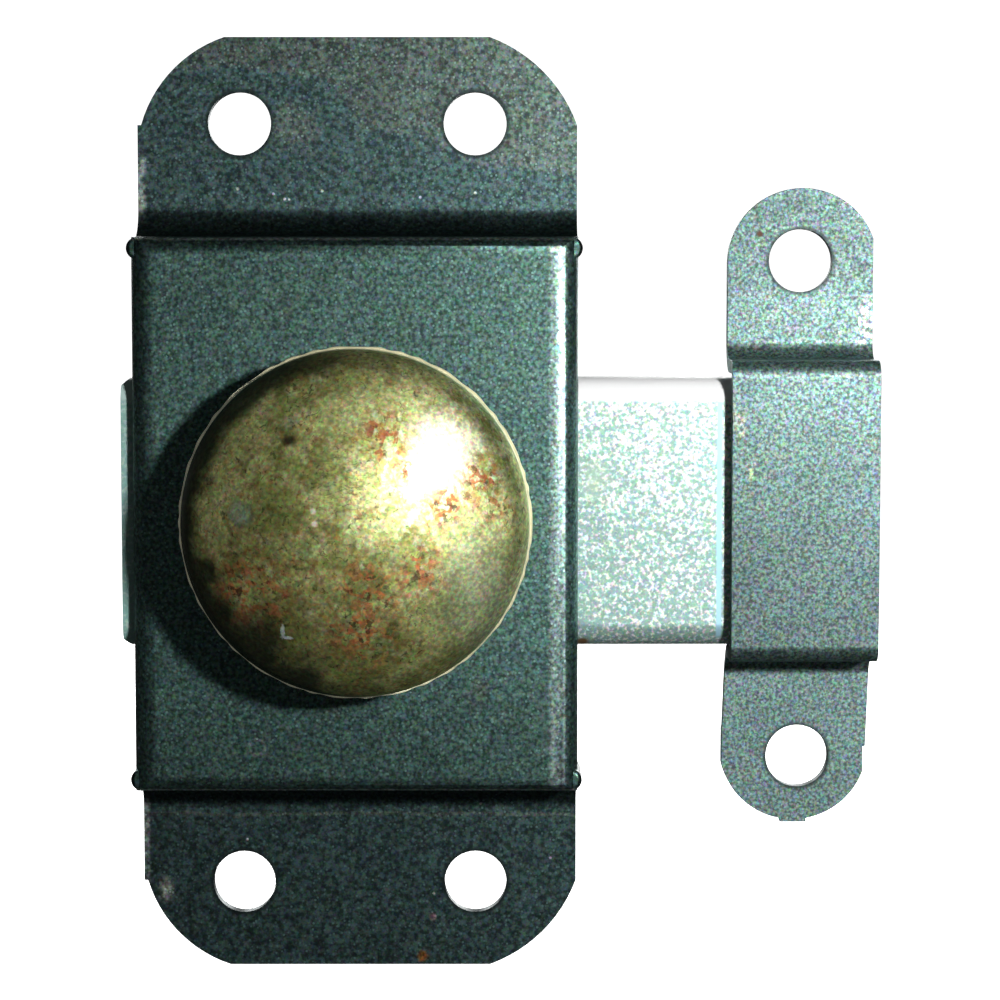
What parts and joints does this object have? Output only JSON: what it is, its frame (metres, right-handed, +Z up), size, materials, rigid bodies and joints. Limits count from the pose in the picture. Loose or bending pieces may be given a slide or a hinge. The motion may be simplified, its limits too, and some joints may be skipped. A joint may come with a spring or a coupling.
{
  "type": "toggle bolt latch",
  "caption": "Surface-mounted cabinet latch: a turn knob on a pressed steel cover throws a flat channel bolt under a screwed-on keeper strap.",
  "frame": {"origin": "centre of the cover's four screw holes, on the door's face", "axes": "+X from the cover towards the keeper, +Y into the door, +Z up along the cover's length"},
  "size_m": [0.0738, 0.0251, 0.0926],
  "materials": {
    "housing_steel": "dark grey-green phosphated steel, finely speckled and stained",
    "keeper_steel": "lighter grey-green speckled steel",
    "bolt_zinc": "bright zinc plate with fine speckle",
    "knob_brass": "aged brass, mottled olive and reddish brown",
    "knob_back_brass": "aged brass",
    "works_steel": "plain zinc-plated steel",
    "spring_steel": "drawn spring wire"
  },
  "bodies": {
    "mounted": {"housing_cover": "housing_steel", "keeper_strap": "keeper_steel", "toggle_spring": "spring_steel"},
    "knob": {"knob_shell": "knob_brass", "knob_back": "knob_back_brass", "knob_spindle": "works_steel", "friction_washer": "works_steel", "crank_arm": "works_steel", "crank_pin": "works_steel"},
    "bolt": {"bolt_channel": "bolt_zinc"}
  },
  "joints": [
    {"name": "knob_turn", "type": "hinge", "parent": "mounted", "child": "knob", "pos_m": [0.0004, 0, -0.0004], "axis": [0, -1, 0], "range_deg": [0, 110]},
    {"name": "bolt_slide", "type": "slide", "parent": "mounted", "child": "bolt", "axis": [-1, 0, 0], "range_m": [0, 0.0144], "deforming": ["toggle_spring"]}
  ],
  "couplings": [
    {"joint": "bolt_slide", "follows": "knob_turn", "m_per_rad": 0.0075}
  ]
}
